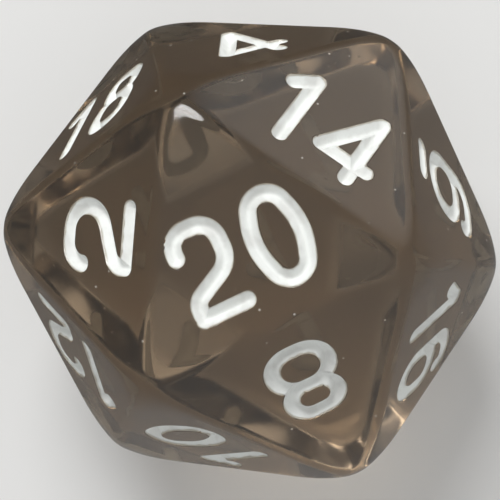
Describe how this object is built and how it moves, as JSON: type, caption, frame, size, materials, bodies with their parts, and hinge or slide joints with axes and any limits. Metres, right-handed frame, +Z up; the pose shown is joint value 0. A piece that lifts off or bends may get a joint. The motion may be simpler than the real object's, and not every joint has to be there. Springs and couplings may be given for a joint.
{
  "type": "polyhedral die",
  "caption": "Smoky translucent icosahedral game die with rounded edges, worn corners and white paint in its engraved numerals; it rests on any flat face.",
  "frame": {"origin": "middle of face 1, the face that the die lies on", "axes": "+Z up through the middle of face 20; +X towards the corner of face 20 that faces 14 and 8 share, the longest extent; +Y completes a right-handed frame, towards the side of faces 14 and 4"},
  "size_m": [0.0238, 0.0212, 0.02],
  "materials": {
    "body": "smoky translucent brown-grey cast resin, polished, with fine handling scratches",
    "numeral_paint": "thin matt white paint, dried with a dished surface in the grooves"
  },
  "bodies": {
    "root": {"die_body": "body", "ink_1": "numeral_paint", "ink_10_tens": "numeral_paint", "ink_10_units": "numeral_paint", "ink_11_tens": "numeral_paint", "ink_11_units": "numeral_paint", "ink_12_tens": "numeral_paint", "ink_12_units": "numeral_paint", "ink_13_tens": "numeral_paint", "ink_13_units": "numeral_paint", "ink_14_tens": "numeral_paint", "ink_14_units": "numeral_paint", "ink_15_tens": "numeral_paint", "ink_15_units": "numeral_paint", "ink_16_tens": "numeral_paint", "ink_16_units": "numeral_paint", "ink_17_tens": "numeral_paint", "ink_17_units": "numeral_paint", "ink_18_tens": "numeral_paint", "ink_18_units": "numeral_paint", "ink_19_tens": "numeral_paint", "ink_19_units": "numeral_paint", "ink_2": "numeral_paint", "ink_20_tens": "numeral_paint", "ink_20_units": "numeral_paint", "ink_3": "numeral_paint", "ink_4": "numeral_paint", "ink_5": "numeral_paint", "ink_6": "numeral_paint", "ink_6_underline": "numeral_paint", "ink_7": "numeral_paint", "ink_8": "numeral_paint", "ink_9": "numeral_paint", "ink_9_underline": "numeral_paint"}
  },
  "joints": []
}
